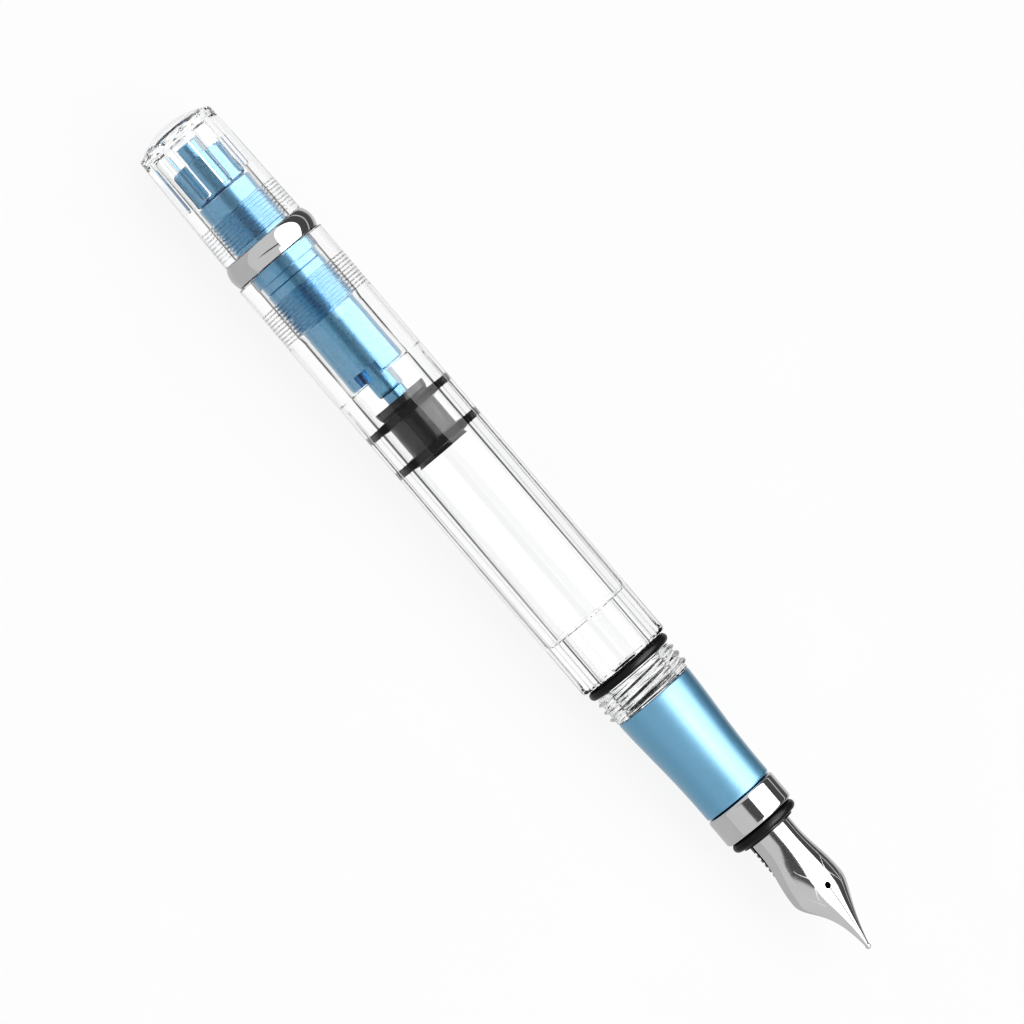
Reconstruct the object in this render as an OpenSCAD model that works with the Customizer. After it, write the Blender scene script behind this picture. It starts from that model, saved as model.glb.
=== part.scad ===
// Piston-filling fountain pen, uncapped, lying on a table.
// Every piece is turned about the local Z axis, from the tail of the knob at z = 0
// to the tip of the nib, with the top of the nib facing local +Y.
// lay() then puts that axis along +X, with the nib toward +X and its top facing +Z.

/* [Knob] */
// Length of the knob, tip of the dome to its open rim
knob_len = 18; // [17.8:0.1:18.4]
// Radius of the knob behind its dome
knob_tail_r = 5.5; // [5.3:0.1:5.7]
// Radius of the knob at its open rim
knob_rim_r = 5.88; // [5.7:0.02:5.98]
// Height of the faceted dome
dome_h = 2.1; // [1.6:0.1:2.4]
// Number of facets around the dome
dome_facets = 12; // [8:1:16]
// Number of ribs inside the knob, and of slots in the hub
rib_count = 8; // [6:1:8]
// Width of a rib
rib_w = 1; // [0.9:0.05:1.1]

/* [Collar ring] */
// Length of the polished ring between the knob and the barrel
collar_len = 3; // [2.8:0.1:3.2]
// Largest radius of the collar ring
collar_r = 6.32; // [6.1:0.02:6.36]

/* [Barrel] */
// Length of the clear barrel, up to its front face
barrel_len = 64.5; // [63.5:0.1:66]
// Radius of the barrel over its round stretches
barrel_r = 6.41; // [6.38:0.01:6.6]
// Radius of the ink chamber
chamber_r = 4.3; // [4.28:0.01:4.34]
// Radius of the narrower bore at the front of the barrel
throat_r = 3.7; // [3.68:0.01:3.8]
// Half angle that a facet spans where it reaches full width
facet_half_rear = 16; // [12:1:18]
// Half angle that a facet spans at the front of the long stretch
facet_half_mid = 21.5; // [19:0.5:22.5]
// Half angle that a facet spans on the front band
facet_half_front = 25; // [23.5:0.5:26]

/* [Cap thread] */
// Length of the threaded neck
neck_len = 3.9; // [3.8:0.1:4.4]
// Root radius of the cap thread
neck_root_r = 5.5; // [5.4:0.02:5.6]
// Crest radius of the cap thread
neck_crest_r = 5.93; // [5.8:0.01:6]
// Distance from crest to crest along the axis
neck_pitch = 1.15; // [1.1:0.05:1.2]

/* [Filling mechanism] */
// Turns of the knob from fully screwed down to fully open
knob_turns = 6; // [4:1:6]
// Pitch of the thread that the knob rises on
knob_pitch = 0.5; // [0.4:0.05:0.5]
// Travel of the piston along the ink chamber
piston_travel = 26.4; // [24:0.1:26.4]
// Distance between the two flats of the piston rod
rod_flat_w = 2.9; // [2.7:0.05:2.95]
// Crest radius of the piston rod's screw
rod_crest_r = 2.2; // [2.15:0.01:2.22]
// Core radius of the piston rod
rod_core_r = 1.7; // [1.6:0.01:1.72]

/* [Section] */
// Length of the grip sleeve
grip_len = 15.95; // [15.5:0.05:16]
// Radius of the grip at its rear
grip_rear_r = 5.47; // [5.3:0.01:5.5]
// Radius of the grip near the nib
grip_front_r = 4.78; // [4.7:0.01:4.9]
// Length of the polished nose ring
nose_len = 4; // [3.9:0.05:4]
// Radius of the nose ring
nose_r = 4.93; // [4.85:0.01:5]

/* [Nib] */
// Length of the nib that stands out of the section
nib_out = 19.1; // [18.8:0.1:19.2]
// Half width of the nib at its shoulders
shoulder_w = 4; // [3.8:0.05:4.1]
// Thickness of the nib's steel
nib_t = 0.3; // [0.25:0.01:0.32]
// Diameter of the breather hole
breather_d = 0.85; // [0.7:0.05:1]

/* [Hidden] */
$fn = 64;

// Running fits and small clearances
run_gap = 0.05;
seal_gap = 0.02;
join_gap = 0.05;

// Stations along the axis, from the tail of the knob
z_collar = knob_len + join_gap;
z_barrel = z_collar + collar_len + join_gap;
z_barrel_end = z_barrel + barrel_len;
z_neck = z_barrel_end + 1.5;
z_neck_end = z_neck + neck_len;
z_grip_end = z_neck_end + join_gap + grip_len;
z_nose = z_grip_end + 0.1;
z_nose_end = z_nose + nose_len;
z_mouth = z_nose_end + 1.3;
z_tip = z_mouth + nib_out;

// Stations inside the barrel
z_long_facets = z_barrel + 18.7;
z_front_band = z_barrel_end - 7.45;
z_throat = z_front_band + 0.5;
z_guide_thread = z_barrel + 4;
guide_thread_len = 5.1;
z_guide_end = z_barrel + 18.5;
z_key_slot = z_guide_end - 1.55;
z_seal = z_barrel + 22.2;
seal_len = 8.55;
z_tube_end = z_nose - 0.4;

// Stations inside the knob
z_cavity = dome_h + 0.4;
z_hub = 5.4;
hub_len = 5.2;
z_guide = z_hub + hub_len + join_gap;
z_knob_thread = 13;
z_rod = 3.3;
z_rod_end = z_seal - 1.1;

// Radii of the mechanism
guide_neck_r = 3.87;
knob_bore_r = 4.18;
knob_thread_root_r = 4.34;
neck_thread_r = 4.12;
guide_pilot_r = 4.5;
guide_thread_r = 4.42;
guide_sleeve_r = 3.9;
guide_bore_r = 3.02;
guide_recess_r = 3.45;
hub_r = 3.69;
drive_r = guide_bore_r - run_gap - seal_gap;
drive_bore_r = rod_crest_r + 0.15;
hub_bore_r = drive_r + 0.01;
key_slot_w = rod_flat_w + 0.2;
key_roll = 40;
rod_lead = piston_travel / knob_turns;
rod_starts = 3;
rod_pin_r = 1.5;
nut_gap = 0.12;
z_nut = z_rod + piston_travel + 0.6;
z_drive_end = z_nut + 5.7;
z_screw = z_rod + 2.3;
z_screw_end = z_drive_end + 0.15;
z_ring_groove = z_guide + 1.3;
z_flange = z_guide + 1.95;
z_washer = z_guide + 2.75;
z_step = z_guide + 3.05;
neck_core_r = neck_root_r - 0.2;
tube_r = 3.95;
tube_bore_r = 3.45;
housing_bore_r = 3.07;
housing_neck_r = 3.6;
nib_tail_r = housing_bore_r - 0.02;
z_housing = z_neck + 3;
z_nib_tail = z_housing + 7.1;
facet_count = 6;
rib_roll = 8;

// Puts the turning axis along +X, with the lowest line of the barrel on z = 0
module lay() {
    translate([-z_tip / 2, 0, barrel_r])
        rotate([90, 0, 90])
            children();
}

// A solid of revolution from its outline, as [radius, station] points
module turned(outline, smooth = 96) {
    rotate_extrude($fn = smooth)
        polygon(outline);
}

// A ring with a round cross section
module cord_ring(ring_r, cord_r, z) {
    translate([0, 0, z])
        rotate_extrude($fn = 64)
            translate([ring_r - cord_r, 0])
                circle(r = cord_r, $fn = 24);
}

// Point at fraction t of a cubic curve with control points a, b, c and d
function curve(a, b, c, d, t) =
    a * pow(1 - t, 3) + b * 3 * t * pow(1 - t, 2) + c * 3 * t * t * (1 - t) + d * pow(t, 3);

// Outline points of ring-shaped threads: root and crest radius, first station, pitch and count
function thread_points(root, crest, z, pitch, count) =
    [for (i = [0 : count - 1], p = [[root, 0.12], [crest, 0.4], [crest, 0.6], [root, 0.88]])
        [p[0], z + (i + p[1]) * pitch]];

// The same list, last point first
function reversed(list) = [for (i = [len(list) - 1 : -1 : 0]) list[i]];

// Cross section of the rod's screw: rounded lobes, one for each start
module screw_section(core, crest) {
    lobe_points = 8;
    polygon([for (i = [0 : rod_starts * lobe_points - 1])
        let (a = 360 * i / (rod_starts * lobe_points),
            lift = min(1, max(0, 0.5 + 0.9 * cos(rod_starts * a))))
        (core + (crest - core) * lift) * [cos(a), sin(a)]]);
}

// The screw itself, cut out of one endless helix so that rod and drive sleeve mesh
module screw(core, crest, z0, z1) {
    turn = 360 * (z1 - z0) / rod_lead;
    translate([0, 0, z0])
        rotate([0, 0, 360 * z0 / rod_lead])
            linear_extrude(height = z1 - z0, twist = -turn, slices = ceil(turn / 22.5), segments = 3)
                screw_section(core, crest);
}

// Planes that cut one long facet and one front facet off the side facing local +Y
module facet_cutter() {
    depth_rear = barrel_r * cos(facet_half_rear);
    depth_mid = barrel_r * cos(facet_half_mid);
    depth_front = barrel_r * cos(facet_half_front);
    rotate([90, 0, 90])
        linear_extrude(height = 16, center = true)
            polygon([
                [barrel_r + 1, z_long_facets + 0.1],
                [barrel_r, z_long_facets + 0.1],
                [depth_rear, z_long_facets + 6.5],
                [depth_mid, z_front_band],
                [depth_front, z_front_band],
                [depth_front, z_barrel_end + 0.5],
                [barrel_r + 1, z_barrel_end + 0.5]]);
}

// One start of the cap thread: a ridge that winds around the neck
module cap_thread_start(start_angle) {
    lead = 2 * neck_pitch;
    foot = 0.75 * 180 / lead;
    crest = 0.3 * 180 / lead;
    height = neck_len - 0.8;
    slope = [for (k = [0 : 3])
        let (f = k / 3)
        [neck_root_r + (neck_crest_r - neck_root_r) * f, foot + (crest - foot) * f]];
    ridge = concat(
        [[neck_root_r - 0.3, foot]],
        slope,
        [[neck_crest_r, 0]],
        [for (p = reversed(slope)) [p[0], -p[1]]],
        [[neck_root_r - 0.3, -foot], [neck_root_r - 0.3, 0]]);
    translate([0, 0, z_neck + 0.45])
        rotate([0, 0, start_angle])
            linear_extrude(height = height, twist = -360 * height / lead, slices = 30, segments = 3)
                polygon([for (p = ridge) p[0] * [cos(p[1]), sin(p[1])]]);
}

// The threaded stretch of the neck, as a sleeve around its core
module cap_thread_sleeve() {
    foot_z = z_neck + 0.25;
    height = neck_len - 0.4;
    resize([0, 0, height])
        difference() {
            union() {
                cap_thread_start(0);
                cap_thread_start(180);
                translate([0, 0, foot_z])
                    cylinder(r = neck_root_r, h = height, $fn = 96);
            }
            cylinder(r = neck_core_r - 0.1, h = z_tip, $fn = 96);
        }
}

module barrel() {
    line = 0.08;
    outside = [
        [barrel_r - 0.12, z_barrel],
        [barrel_r, z_barrel + 0.12],
        [barrel_r, z_long_facets - line],
        [barrel_r - line, z_long_facets],
        [barrel_r - 0.02, z_long_facets + line],
        [barrel_r, z_long_facets + 0.7],
        [barrel_r, z_barrel_end - 0.3],
        [barrel_r - 0.3, z_barrel_end],
        [neck_root_r - 0.67, z_barrel_end],
        [neck_root_r - 0.67, z_neck],
        [neck_root_r - 0.15, z_neck],
        [neck_root_r - 0.05, z_neck + 0.1],
        [neck_core_r, z_neck + 0.35],
        [neck_core_r, z_neck_end - 0.25],
        [neck_root_r - 0.05, z_neck_end - 0.1],
        [neck_root_r - 0.15, z_neck_end],
        [tube_r, z_neck_end],
        [tube_r, z_tube_end]];
    inside = concat(
        [[tube_bore_r, z_tube_end],
            [tube_bore_r, z_neck_end + 1],
            [throat_r, z_neck_end + 0.7],
            [throat_r, z_throat],
            [chamber_r - 0.15, z_throat],
            [chamber_r, z_throat - 0.15],
            [chamber_r, z_guide_thread + guide_thread_len + 0.1]],
        reversed(thread_points(guide_thread_r + 0.24, guide_thread_r + 0.04, z_guide_thread, 0.5, 10)),
        [[guide_thread_r + 0.04, z_guide_thread],
            [guide_thread_r + 0.04, z_barrel + 1.65],
            [guide_pilot_r + join_gap, z_barrel + 1.65],
            [guide_pilot_r + join_gap, z_barrel]]);
    color([0.9, 0.95, 0.98, 0.35])
        lay() {
            difference() {
                turned(concat(outside, inside), 128);
                for (i = [0 : facet_count - 1])
                    rotate([0, 0, 30 + i * 360 / facet_count])
                        facet_cutter();
            }
            cap_thread_sleeve();
        }
}

module cap_seal_o_ring() {
    color([0.06, 0.06, 0.07])
        lay()
            cord_ring(6.05, 0.6, z_barrel_end + 0.75);
}

module grip_section() {
    steps = 16;
    z0 = z_neck_end + join_gap;
    z1 = z_grip_end - 0.3;
    side = [for (i = [0 : steps])
        let (t = i / steps)
        [curve(grip_rear_r, grip_rear_r - 0.12, grip_front_r - 0.06, grip_front_r, t),
            curve(z0 + 0.15, z0 + 5, z0 + 9, z1, t)]];
    color([0.36, 0.62, 0.78])
        lay()
            turned(concat(
                [[tube_r + join_gap, z0], [grip_rear_r - 0.15, z0]],
                side,
                [[grip_front_r - 0.2, z_grip_end], [tube_r + join_gap, z_grip_end]]));
}

module nose_ring() {
    round_r = 0.45;
    arc = [for (a = [0 : 15 : 90]) [nose_r - round_r + round_r * cos(a), round_r * (1 - sin(a))]];
    color([0.82, 0.83, 0.85])
        lay()
            turned(concat(
                [[housing_neck_r + join_gap, z_nose]],
                [for (p = reversed(arc)) [p[0], z_nose + p[1]]],
                [for (p = arc) [p[0], z_nose_end - p[1]]],
                [[housing_neck_r + join_gap, z_nose_end]]));
}

module nose_o_ring() {
    color([0.06, 0.06, 0.07])
        lay()
            cord_ring(4.72, 0.62, z_nose_end + 0.65);
}

module nib_housing() {
    neck_z = z_tube_end + join_gap;
    color([0.08, 0.08, 0.09])
        lay()
            turned(concat(
                [[1.6, z_housing],
                    [3.2, z_housing],
                    [3.35, z_housing + 0.15],
                    [3.35, z_housing + 0.35],
                    [2.68, z_housing + 0.35],
                    [2.68, z_housing + 1.5],
                    [3.3, z_housing + 1.5],
                    [3.3, z_neck_end + 1.3]],
                thread_points(3.25, tube_bore_r - 0.03, z_neck_end + 1.6, 0.8, 12),
                [[3.25, neck_z],
                    [housing_neck_r, neck_z],
                    [housing_neck_r, z_nose_end + 0.05],
                    [housing_neck_r - 0.14, z_nose_end + 0.05],
                    [housing_neck_r - 0.14, z_mouth],
                    [housing_neck_r + 0.1, z_mouth],
                    [housing_neck_r + 0.1, z_mouth + 0.25],
                    [housing_bore_r, z_mouth + 0.35],
                    [housing_bore_r, z_nib_tail - 0.4],
                    [1.6, z_nib_tail - 0.4]]));
}

module nib_unit_o_ring() {
    color([0.06, 0.06, 0.07])
        lay()
            cord_ring(throat_r - seal_gap, 0.48, z_housing + 0.92);
}

module feed() {
    z0 = z_nib_tail - 0.2;
    fin_z = z_mouth + 1.2;
    color([0.07, 0.07, 0.08])
        lay()
            difference() {
                intersection() {
                    union() {
                        translate([0, 0, z0])
                            cylinder(r = nib_tail_r - nib_t - 2 * join_gap, h = z_mouth + 16 - z0);
                        intersection() {
                            translate([0, 0, z0])
                                cylinder(r = nib_tail_r, h = z_mouth + 8 - z0);
                            translate([-4, -4, z0])
                                cube([8, 3.85, z_mouth + 8 - z0]);
                        }
                    }
                    // Side view: the top follows the nib, the underside sweeps up to the tip
                    rotate([90, 0, 90])
                        linear_extrude(height = 8, center = true)
                            polygon([
                                [-4, z0], [-4, z_mouth + 2], [-2.6, z_mouth + 5.5],
                                [-1.4, z_mouth + 9], [0, z_mouth + 13], [0.75, z_mouth + 15.5],
                                [0.95, z_mouth + 15.6], [1.2, z_mouth + 14], [1.6, z_mouth + 11.5],
                                [2.2, z_mouth + 8.5], [4, z_mouth + 4], [4, z0]]);
                    // Plan view: it narrows toward the tip
                    rotate([90, 0, 0])
                        linear_extrude(height = 10, center = true)
                            polygon([
                                [-4, z0], [4, z0], [4, z_mouth + 6], [2.2, z_mouth + 9.5],
                                [0.5, z_mouth + 15.7], [-0.5, z_mouth + 15.7],
                                [-2.2, z_mouth + 9.5], [-4, z_mouth + 6]]);
                }
                // Ink channel along the top
                translate([-0.3, 1.9, z0 - 1])
                    cube([0.6, 2, 30]);
                // Fins that hold spare ink, below the axis
                for (i = [0 : 9])
                    translate([0, 0, fin_z + i * 0.75])
                        difference() {
                            translate([-4, -4, 0])
                                cube([8, 3.7, 0.4]);
                            cylinder(r = 1.7, h = 1, center = true);
                        }
            }
}

// One ring of the nib: station, half width, height of the edges and height of the top
function nib_ring(t) = t < 0
    ? [z_mouth + 2.2 + t * (z_mouth + 2.2 - z_nib_tail), nib_tail_r, 0.15, nib_tail_r]
    : t < 1
    ? [z_mouth + 2.2 + 6.8 * t,
        nib_tail_r + (shoulder_w - nib_tail_r) * (1 - cos(180 * pow(t, 0.9))) / 2,
        0.15, nib_tail_r - 0.08 * t * t]
    : let (u = t - 1)
    [curve(z_mouth + 9, z_mouth + 11.4, z_mouth + 11.6, z_tip - 0.15, u),
        curve(shoulder_w, shoulder_w + 0.1, 1.5, 0.22, u),
        curve(0.15, 0.7, 2.2, 0.3, u),
        curve(nib_tail_r - 0.08, nib_tail_r - 0.3, 2.7, 0.62, u)];

// Points across one ring, on the outer face when depth is 0
function nib_arc(ring, depth, segments) =
    let (rise = ring[3] - ring[2],
        r = (ring[1] * ring[1] + rise * rise) / (2 * rise),
        a_end = rise > r ? 180 - asin(min(1, ring[1] / r)) : asin(min(1, ring[1] / r)),
        middle = ring[3] - r)
    [for (j = [0 : segments])
        let (a = a_end * (2 * j / segments - 1))
        [(r - depth) * sin(a), middle + (r - depth) * cos(a), ring[0]]];

module nib_blade() {
    segments = 20;
    row = segments + 1;
    stops = concat([-1, 0], [for (i = [1 : 8]) i / 8], [for (i = [1 : 14]) 1 + i / 14]);
    rings = [for (t = stops) nib_ring(t)];
    last = len(rings) - 1;
    outer = [for (q = rings) each nib_arc(q, 0, segments)];
    inner = [for (q = rings) each nib_arc(q, min(nib_t, nib_t * (0.5 + q[1])), segments)];
    half = len(outer);
    faces = concat(
        [for (i = [0 : last - 1], j = [0 : segments - 1])
            each let (k = i * row + j) [[k, k + 1, k + row + 1], [k, k + row + 1, k + row]]],
        [for (i = [0 : last - 1], j = [0 : segments - 1])
            each let (k = half + i * row + j) [[k, k + row + 1, k + 1], [k, k + row, k + row + 1]]],
        [for (i = [0 : last - 1])
            each let (k = i * row) [[k, k + row, k + half + row], [k, k + half + row, k + half]]],
        [for (i = [0 : last - 1])
            each let (k = i * row + segments)
            [[k, k + half + row, k + row], [k, k + half, k + half + row]]],
        [for (j = [0 : segments - 1])
            each let (k = j) [[k, k + half + 1, k + 1], [k, k + half, k + half + 1]]],
        [for (j = [0 : segments - 1])
            each let (k = last * row + j) [[k, k + 1, k + half + 1], [k, k + half + 1, k + half]]]);
    polyhedron(points = concat(outer, inner), faces = faces);
}

module nib() {
    hole_z = z_mouth + 9.7;
    slit_w = 0.1;
    color([0.8, 0.81, 0.83])
        lay()
            difference() {
                union() {
                    nib_blade();
                    translate([0, 0.42, z_tip - 0.38])
                        sphere(r = 0.38, $fn = 16);
                }
                translate([0, 0, hole_z])
                    rotate([-90, 0, 0])
                        cylinder(d = breather_d, h = 5, $fn = 32);
                translate([-slit_w / 2, -1, hole_z])
                    cube([slit_w, 6, 12]);
            }
}

module collar_ring() {
    side = [for (t = [0 : 0.125 : 1])
        [curve(knob_rim_r + 0.05, collar_r + 0.18, collar_r + 0.12, collar_r - 0.22, t),
            z_collar + 0.1 + t * (collar_len - 0.2)]];
    color([0.82, 0.83, 0.85])
        lay()
            turned(concat(
                [[guide_pilot_r + join_gap, z_collar + 0.45],
                    [5.05, z_collar + 0.45],
                    [5.05, z_collar],
                    [knob_rim_r - 0.15, z_collar]],
                side,
                [[collar_r - 0.4, z_collar + collar_len],
                    [guide_pilot_r + join_gap, z_collar + collar_len]]));
}

module piston_guide() {
    color([0.36, 0.62, 0.78])
        lay()
            difference() {
                turned(concat(
                    [[guide_recess_r, z_guide],
                        [guide_neck_r - 0.1, z_guide],
                        [guide_neck_r, z_guide + 0.1],
                        [guide_neck_r, z_knob_thread]],
                    thread_points(guide_neck_r + 0.06, neck_thread_r, z_knob_thread, knob_pitch, 9),
                    [[guide_neck_r, z_collar - 0.3],
                        [guide_neck_r, z_collar + 0.05],
                        [5, z_collar + 0.05],
                        [5, z_collar + 0.4],
                        [guide_pilot_r, z_collar + 0.4],
                        [guide_pilot_r, z_barrel + 1.6],
                        [4.15, z_barrel + 1.75],
                        [4.15, z_barrel + 2.7],
                        [4, z_barrel + 2.8],
                        [4.2, z_barrel + 2.9]],
                    thread_points(4.2, guide_thread_r, z_guide_thread, 0.5, 10),
                    [[guide_sleeve_r, z_guide_thread + guide_thread_len],
                        [guide_sleeve_r, z_guide_end - 0.2],
                        [guide_sleeve_r - 0.2, z_guide_end],
                        [rod_crest_r + 0.15, z_guide_end],
                        [rod_crest_r + 0.15, z_drive_end + 0.35],
                        [guide_bore_r, z_drive_end + 0.35],
                        [guide_bore_r, z_step],
                        [guide_recess_r, z_step],
                        [guide_recess_r, z_ring_groove + 0.6],
                        [guide_recess_r + 0.12, z_ring_groove + 0.6],
                        [guide_recess_r + 0.12, z_ring_groove],
                        [guide_recess_r, z_ring_groove]]));
                // Slot across the front end that keeps the rod from turning
                rotate([0, 0, key_roll])
                    translate([-key_slot_w / 2, -5, z_key_slot])
                        cube([key_slot_w, 10, 3]);
            }
}

module thrust_washer() {
    color([0.9, 0.9, 0.88])
        lay()
            translate([0, 0, z_washer])
                difference() {
                    cylinder(r = guide_recess_r - run_gap, h = 0.26);
                    translate([0, 0, -1])
                        cylinder(r = guide_bore_r, h = 3);
                }
}

module retaining_ring() {
    color([0.7, 0.71, 0.73])
        lay()
            translate([0, 0, z_ring_groove + 0.05])
                difference() {
                    cylinder(r = guide_recess_r + 0.08, h = 0.5);
                    translate([0, 0, -1])
                        cylinder(r = guide_bore_r + 0.05, h = 3);
                    translate([-1.2, 0, -1])
                        cube([2.4, 5, 3]);
                }
}

module drive_sleeve() {
    color([0.36, 0.62, 0.78])
        lay()
            difference() {
                turned([
                    [drive_bore_r, z_hub + 1.05],
                    [drive_r, z_hub + 1.05],
                    [drive_r, z_flange],
                    [guide_recess_r - run_gap, z_flange],
                    [guide_recess_r - run_gap, z_washer - 0.05],
                    [drive_r, z_washer - 0.05],
                    [drive_r, z_drive_end],
                    [1.2, z_drive_end],
                    [1.2, z_nut],
                    [drive_bore_r, z_nut - 0.4]]);
                screw(rod_core_r + nut_gap, rod_crest_r + nut_gap, z_nut - 1, z_drive_end + 1);
            }
}

module spline_hub() {
    slot_w = rib_w + 0.16;
    slot_floor = hub_r - 0.5;
    color([0.36, 0.62, 0.78])
        lay()
            difference() {
                turned([
                    [drive_bore_r, z_hub],
                    [hub_r - 0.45, z_hub],
                    [hub_r - 0.13, z_hub + 0.13],
                    [hub_r, z_hub + 0.45],
                    [hub_r, z_hub + hub_len - 0.3],
                    [hub_r - 0.3, z_hub + hub_len],
                    [hub_bore_r, z_hub + hub_len],
                    [hub_bore_r, z_hub + 1],
                    [drive_bore_r, z_hub + 1]]);
                for (i = [0 : rib_count - 1])
                    rotate([0, 0, rib_roll + i * 360 / rib_count])
                        translate([-slot_w / 2, slot_floor, z_hub - 1])
                            cube([slot_w, 2, hub_len - 0.2 + 1]);
            }
}

module knob() {
    rib_end = 10.1;
    facet_ring = [[knob_tail_r + 0.02, dome_h - 0.2], [knob_tail_r - 0.55, dome_h - 0.95],
        [2.6, 0.28], [1.1, 0]];
    color([0.9, 0.95, 0.98, 0.35])
        lay() {
            difference() {
                turned(concat(
                    [[0, dome_h - 0.3],
                        [knob_tail_r - 0.12, dome_h - 0.3],
                        [knob_tail_r, dome_h - 0.15],
                        [knob_rim_r, knob_len - 0.1],
                        [knob_rim_r - 0.1, knob_len],
                        [knob_bore_r, knob_len]],
                    reversed(thread_points(knob_thread_root_r, knob_bore_r, z_knob_thread - 0.25,
                        knob_pitch, 9)),
                    [[knob_bore_r, z_knob_thread - 0.3],
                        [knob_bore_r, z_cavity + 0.5],
                        [knob_bore_r - 0.5, z_cavity],
                        [0, z_cavity]]), 96);
            }
            // Ribs that slide in the slots of the hub
            for (i = [0 : rib_count - 1])
                rotate([0, 0, rib_roll + i * 360 / rib_count])
                    translate([-rib_w / 2, hub_r - 0.38, z_cavity - 0.1])
                        cube([rib_w, knob_bore_r - hub_r + 0.6, rib_end - z_cavity]);
            // Faceted dome
            for (i = [0 : 2])
                translate([0, 0, facet_ring[i + 1][1]])
                    cylinder(r1 = facet_ring[i + 1][0], r2 = facet_ring[i][0],
                        h = facet_ring[i][1] - facet_ring[i + 1][1], $fn = dome_facets);
        }
}

module piston_rod() {
    color([0.36, 0.62, 0.78])
        lay() {
            // Keyed stretch: a plain end and a three-start screw, between two flats
            rotate([0, 0, key_roll])
                resize([rod_flat_w, 0, 0]) intersection() {
                    union() {
                        turned([
                            [0, z_rod],
                            [rod_core_r - 0.2, z_rod],
                            [rod_core_r, z_rod + 0.2],
                            [rod_core_r, z_screw + 0.1],
                            [0, z_screw + 0.1]], 48);
                        rotate([0, 0, -key_roll])
                            screw(rod_core_r, rod_crest_r, z_screw, z_screw_end);
                        turned([
                            [0, z_screw_end - 0.05],
                            [rod_crest_r, z_screw_end - 0.05],
                            [rod_crest_r, z_rod_end - 0.5],
                            [rod_crest_r - 0.15, z_rod_end - 0.15],
                            [rod_crest_r - 0.5, z_rod_end],
                            [0, z_rod_end]], 64);
                    }
                    translate([-rod_flat_w / 2, -3, z_rod - 1])
                        cube([rod_flat_w, 6, 50]);
                }
            // Round pin with a bulb that snaps into the seal
            turned([
                [0, z_rod_end - 0.1],
                [rod_pin_r, z_rod_end - 0.1],
                [rod_pin_r, z_seal + 3.2],
                [rod_pin_r + 0.35, z_seal + 3.7],
                [rod_pin_r + 0.35, z_seal + 4.4],
                [rod_pin_r - 0.3, z_seal + 5.2],
                [0, z_seal + 5.2]], 48);
        }
}

module piston_seal() {
    rib_r = chamber_r - seal_gap;
    body_r = 3.4;
    lip_r = 3.72;
    cavity = rod_pin_r + join_gap;
    z1 = z_seal + seal_len;
    color([0.05, 0.05, 0.06])
        lay()
            turned([
                [cavity, z_seal],
                [lip_r, z_seal],
                [lip_r - 0.1, z_seal + 0.9],
                [body_r, z_seal + 1.25],
                [rib_r - 0.12, z_seal + 1.38],
                [rib_r, z_seal + 1.55],
                [rib_r, z_seal + 2.25],
                [rib_r - 0.12, z_seal + 2.42],
                [body_r, z_seal + 2.6],
                [body_r, z1 - 1.85],
                [rib_r - 0.12, z1 - 1.72],
                [rib_r, z1 - 1.55],
                [rib_r, z1 - 0.65],
                [rib_r - 0.12, z1 - 0.48],
                [body_r + 0.1, z1 - 0.4],
                [lip_r, z1],
                [lip_r - 0.35, z1],
                [lip_r - 0.75, z1 - 0.5],
                [0, z1 - 0.7],
                [0, z_seal + 5.3],
                [cavity - 0.25, z_seal + 5.3],
                [cavity + 0.35, z_seal + 4.5],
                [cavity + 0.35, z_seal + 3.65],
                [cavity, z_seal + 3.15]]);
}

barrel();
cap_seal_o_ring();
grip_section();
nose_ring();
nose_o_ring();
nib_housing();
nib_unit_o_ring();
feed();
nib();
collar_ring();
piston_guide();
thrust_washer();
retaining_ring();
drive_sleeve();
spline_hub();
knob();
piston_rod();
piston_seal();
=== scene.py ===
"""Looks of the piston-filling fountain pen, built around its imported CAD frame."""

import math

import bmesh
import bpy
from mathutils import Matrix, Vector


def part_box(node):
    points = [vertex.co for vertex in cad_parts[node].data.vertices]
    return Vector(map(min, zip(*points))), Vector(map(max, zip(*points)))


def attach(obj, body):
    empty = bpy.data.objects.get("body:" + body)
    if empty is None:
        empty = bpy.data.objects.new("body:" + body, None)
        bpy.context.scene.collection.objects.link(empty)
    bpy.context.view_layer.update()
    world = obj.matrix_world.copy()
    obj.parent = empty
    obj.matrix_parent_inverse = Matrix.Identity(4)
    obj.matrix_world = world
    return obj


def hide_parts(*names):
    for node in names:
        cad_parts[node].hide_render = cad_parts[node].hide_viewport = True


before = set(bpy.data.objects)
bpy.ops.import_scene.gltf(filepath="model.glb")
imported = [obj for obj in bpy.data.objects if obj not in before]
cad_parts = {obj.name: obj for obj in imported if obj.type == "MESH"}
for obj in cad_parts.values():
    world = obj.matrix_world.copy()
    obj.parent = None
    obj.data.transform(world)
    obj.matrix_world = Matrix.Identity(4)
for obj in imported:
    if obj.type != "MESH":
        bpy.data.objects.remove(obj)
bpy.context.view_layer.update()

MM = 0.001
TAU = 2 * math.pi

# The pen's axis runs along X. Stations are millimetres from the tail of the knob.
tail_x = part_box("knob")[0].x
axis_z = (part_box("barrel")[0].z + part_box("barrel")[1].z) / 2


def station(node, end):
    """Station of a CAD node's rear (end 0) or front (end 1)."""
    return (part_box(node)[end].x - tail_x) / MM


def radius(node):
    """Largest radius of a CAD node, in millimetres."""
    low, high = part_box(node)
    return (high.y - low.y) / 2 / MM


def place(r, angle, s):
    """World point at radius r, polar angle about the axis from +Y, and station s."""
    return (
        tail_x + s * MM,
        r * math.cos(angle) * MM,
        axis_z + r * math.sin(angle) * MM,
    )


# ---------------------------------------------------------------- mesh helpers


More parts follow.
